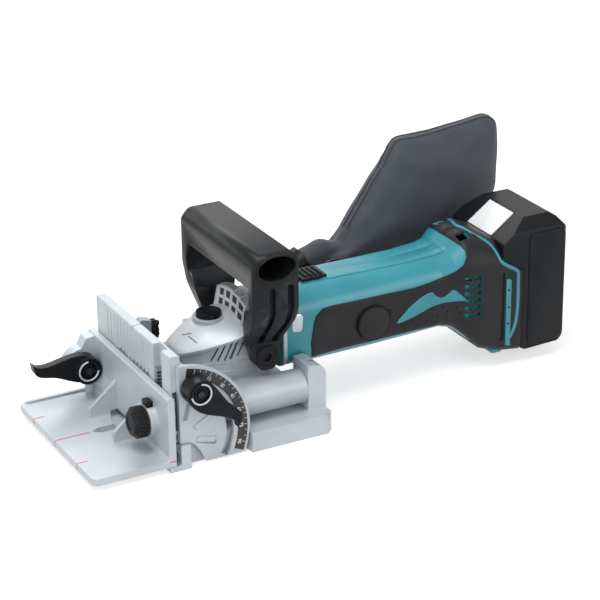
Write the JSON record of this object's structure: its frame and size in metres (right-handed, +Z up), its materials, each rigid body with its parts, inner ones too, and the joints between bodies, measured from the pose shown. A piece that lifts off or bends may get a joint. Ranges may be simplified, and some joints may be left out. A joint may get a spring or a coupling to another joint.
{
  "type": "biscuit joiner",
  "caption": "Cordless plate joiner: sliding motor unit with a slotting blade, tilting angle guide, height-adjustable fence, D-handle, battery and dust bag",
  "frame": {"origin": "on the sole's plane, on the centre plane, below the front face of the angle guide", "axes": "+X runs from the fence to the battery, +Y towards the dust bag's side, +Z up"},
  "size_m": [0.427, 0.1755, 0.1698],
  "materials": {
    "base_plate": "machined",
    "base_casting": "cast",
    "guide_rods": "ground",
    "rod_pins": "ground",
    "return_springs": "plain",
    "hinge_pins": "ground",
    "angle_bolt": "ground",
    "front_pads": "matte",
    "base_screws": "ground",
    "dust_nozzle": "satin",
    "nozzle_screw": "ground",
    "depth_stop_post": "cast",
    "angle_guide": "cast",
    "angle_quadrant": "cast",
    "angle_scale": "satin",
    "quadrant_screws": "ground",
    "height_scale": "satin",
    "height_rack": "ground",
    "fence": "machined",
    "fence_lock_bolt": "ground",
    "height_knob": "satin",
    "knob_pinion": "ground",
    "fence_lever": "satin",
    "angle_lever": "satin",
    "gear_housing": "cast",
    "bearing_box": "cast",
    "bearings": "ground",
    "slide_tube_far": "cast",
    "slide_tube_near": "cast",
    "stop_screw": "ground",
    "motor_field": "plain",
    "motor_housing_far": "satin",
    "motor_housing_near": "satin",
    "carbon_brushes": "matte",
    "brush_holders": "turned",
    "brush_caps": "satin",
    "switch_body": "satin",
    "speed_board": "matte",
    "terminal_block": "satin",
    "side_handle": "satin",
    "handle_bolts": "ground",
    "handle_bosses": "cast",
    "spindle": "ground",
    "blade": "ground",
    "inner_flange": "ground",
    "lock_nut": "ground",
    "bevel_gear": "ground",
    "motor_shaft": "ground",
    "armature_core": "plain",
    "commutator": "turned",
    "cooling_fan": "satin",
    "bevel_pinion": "ground",
    "shaft_lock": "satin",
    "slide_switch": "satin",
    "switch_link": "ground",
    "depth_turret": "satin",
    "battery_case": "satin",
    "battery_button": "satin",
    "dust_bag": "woven",
    "bag_ring": "satin"
  },
  "bodies": {
    "base": {"base_plate": "base_plate", "base_casting": "base_casting", "guide_rods": "guide_rods", "rod_pins": "rod_pins", "return_springs": "return_springs", "hinge_pins": "hinge_pins", "angle_bolt": "angle_bolt", "front_pads": "front_pads", "base_screws": "base_screws", "dust_nozzle": "dust_nozzle", "nozzle_screw": "nozzle_screw", "depth_stop_post": "depth_stop_post"},
    "guide": {"angle_guide": "angle_guide", "angle_quadrant": "angle_quadrant", "angle_scale": "angle_scale", "quadrant_screws": "quadrant_screws", "height_scale": "height_scale"},
    "rack": {"height_rack": "height_rack"},
    "fence_body": {"fence": "fence", "fence_lock_bolt": "fence_lock_bolt"},
    "knob": {"height_knob": "height_knob", "knob_pinion": "knob_pinion"},
    "fence_clamp": {"fence_lever": "fence_lever"},
    "angle_clamp": {"angle_lever": "angle_lever"},
    "motor_unit": {"gear_housing": "gear_housing", "bearing_box": "bearing_box", "bearings": "bearings", "slide_tube_far": "slide_tube_far", "slide_tube_near": "slide_tube_near", "stop_screw": "stop_screw", "motor_field": "motor_field", "motor_housing_far": "motor_housing_far", "motor_housing_near": "motor_housing_near", "carbon_brushes": "carbon_brushes", "brush_holders": "brush_holders", "brush_caps": "brush_caps", "switch_body": "switch_body", "speed_board": "speed_board", "terminal_block": "terminal_block", "side_handle": "side_handle", "handle_bolts": "handle_bolts", "handle_bosses": "handle_bosses"},
    "spindle_body": {"spindle": "spindle", "blade": "blade", "inner_flange": "inner_flange", "lock_nut": "lock_nut", "bevel_gear": "bevel_gear"},
    "armature": {"motor_shaft": "motor_shaft", "armature_core": "armature_core", "commutator": "commutator", "cooling_fan": "cooling_fan", "bevel_pinion": "bevel_pinion"},
    "lock_button": {"shaft_lock": "shaft_lock"},
    "switch": {"slide_switch": "slide_switch", "switch_link": "switch_link"},
    "turret": {"depth_turret": "depth_turret"},
    "battery": {"battery_case": "battery_case"},
    "battery_catch": {"battery_button": "battery_button"},
    "bag": {"dust_bag": "dust_bag", "bag_ring": "bag_ring"}
  },
  "joints": [
    {"name": "plunge", "type": "slide", "parent": "base", "child": "motor_unit", "axis": [-1, 0, 0], "range_m": [0, 0.02], "stiffness_N_per_m": 900, "springref_m": -0.012, "deforming": ["return_springs"]},
    {"name": "guide_tilt", "type": "hinge", "parent": "base", "child": "guide", "pos_m": [0.0036, 0, 0.0236], "axis": [0, -1, 0], "range_deg": [0, 90]},
    {"name": "rack_lift", "type": "slide", "parent": "guide", "child": "rack", "axis": [0, 0, 1], "range_m": [0, 0.04]},
    {"name": "fence_height", "type": "slide", "parent": "rack", "child": "fence_body", "axis": [0, 0, 1], "range_m": [0, 0.03]},
    {"name": "knob_turn", "type": "hinge", "parent": "fence_body", "child": "knob", "pos_m": [-0.02, -0.044, 0.0326], "axis": [1, 0, 0], "range_deg": [-382, 0]},
    {"name": "fence_lever_turn", "type": "hinge", "parent": "fence_body", "child": "fence_clamp", "pos_m": [-0.0172, 0.053, 0.036], "axis": [0, 1, 0], "range_deg": [-25, 40]},
    {"name": "angle_lever_turn", "type": "hinge", "parent": "base", "child": "angle_clamp", "pos_m": [0.01591, -0.076, 0.06313], "axis": [0, 1, 0], "range_deg": [-30, 30]},
    {"name": "spindle_spin", "type": "hinge", "parent": "motor_unit", "child": "spindle_body", "pos_m": [0.0542, 0, 0.01], "axis": [0, 0, 1], "continuous": true},
    {"name": "armature_spin", "type": "hinge", "parent": "motor_unit", "child": "armature", "pos_m": [0.15, 0, 0.0696], "axis": [1, 0, 0], "continuous": true},
    {"name": "shaft_lock_press", "type": "slide", "parent": "motor_unit", "child": "lock_button", "axis": [0, 0, -1], "range_m": [0, 0.004], "stiffness_N_per_m": 400, "springref_m": -0.004},
    {"name": "switch_slide", "type": "slide", "parent": "motor_unit", "child": "switch", "axis": [-1, 0, 0], "range_m": [0, 0.008]},
    {"name": "depth_turn", "type": "hinge", "parent": "base", "child": "turret", "pos_m": [0.04, 0.06, 0.053], "axis": [1, 0, 0], "range_deg": [-120, 120]},
    {"name": "battery_lift", "type": "slide", "parent": "motor_unit", "child": "battery", "axis": [0, 0, 1], "range_m": [0, 0.095]},
    {"name": "battery_catch_press", "type": "slide", "parent": "battery", "child": "battery_catch", "axis": [0.5829, 0, -0.8125], "range_m": [0, 0.003], "stiffness_N_per_m": 500, "springref_m": -0.004},
    {"name": "bag_off", "type": "slide", "parent": "base", "child": "bag", "axis": [0.891, 0, 0.454], "range_m": [0, 0.04]}
  ],
  "couplings": [
    {"joint": "armature_spin", "follows": "spindle_spin", "ratio": 3},
    {"joint": "rack_lift", "follows": "guide_tilt", "m_per_rad": 0.025465},
    {"joint": "knob_turn", "follows": "fence_height", "rad_per_m": -222.22}
  ]
}
